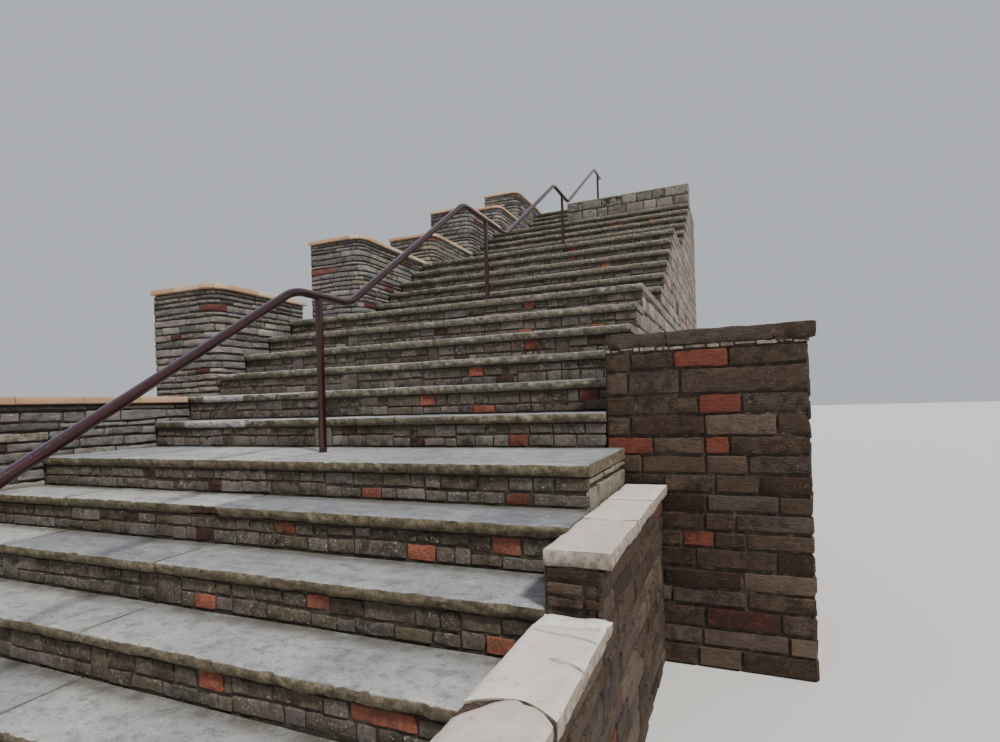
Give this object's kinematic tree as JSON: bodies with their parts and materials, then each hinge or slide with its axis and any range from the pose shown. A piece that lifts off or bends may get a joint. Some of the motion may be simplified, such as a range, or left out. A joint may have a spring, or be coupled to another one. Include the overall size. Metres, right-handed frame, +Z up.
{
  "type": "outdoor stone steps with stepped planters and a central handrail",
  "caption": "Wide outdoor stone stair climbing in flights between deep landings, with stepped ledgestone planters on the left, a kerb and raised bed on the right, and a bent steel handrail.",
  "frame": {"origin": "middle of the footprint, on the ground", "axes": "+Z up, +Y up the stair, +X to the right of a person who climbs it"},
  "size_m": [4.72, 11.618, 5.223],
  "materials": {
    "worn_tread_stone": "smooth-worn sandstone slabs, rough broken front edges",
    "rubble_riser_stone": "small rubble blocks and a few red bricks in dark mortar",
    "rubble_core": "coursed rubble masonry",
    "ledgestone": "thin-coursed ledgestone with dark joints",
    "terracotta_tile": "matt peach terracotta tiles",
    "pale_sandstone": "sun-bleached rough sandstone slabs",
    "brown_rubble": "brown rubble blocks with red bricks",
    "block_stone": "rough pale stone blocks",
    "painted_rail_steel": "dark maroon gloss paint, slightly worn"
  },
  "bodies": {
    "root": {"tread_01": "worn_tread_stone", "tread_02": "worn_tread_stone", "tread_03": "worn_tread_stone", "tread_04": "worn_tread_stone", "tread_05": "worn_tread_stone", "tread_06": "worn_tread_stone", "tread_07": "worn_tread_stone", "tread_08": "worn_tread_stone", "tread_09": "worn_tread_stone", "tread_10": "worn_tread_stone", "flight_3_treads": "worn_tread_stone", "flight_4_treads": "worn_tread_stone", "flight_5_treads": "worn_tread_stone", "landing_1": "worn_tread_stone", "landing_2": "worn_tread_stone", "landing_3": "worn_tread_stone", "landing_4": "worn_tread_stone", "landing_5": "worn_tread_stone", "flight_1_risers": "rubble_riser_stone", "flight_2_risers": "rubble_riser_stone", "flight_3_risers": "rubble_riser_stone", "flight_4_risers": "rubble_riser_stone", "flight_5_risers": "rubble_riser_stone", "flight_1_core": "rubble_core", "flight_2_core": "rubble_core", "flight_3_core": "rubble_core", "flight_4_core": "rubble_core", "flight_5_core": "rubble_core", "side_landing": "rubble_core", "planter_a": "ledgestone", "planter_b": "ledgestone", "planter_c": "ledgestone", "planter_d": "ledgestone", "planter_e": "ledgestone", "planter_f": "ledgestone", "planter_g": "ledgestone", "planter_fill": "rubble_core", "planter_copings": "terracotta_tile", "kerb_wall": "rubble_riser_stone", "kerb_slabs": "pale_sandstone", "bed_wall_right": "brown_rubble", "bed_coping": "brown_rubble", "top_block_wall": "block_stone", "handrail": "painted_rail_steel", "handrail_posts": "painted_rail_steel"}
  },
  "joints": []
}
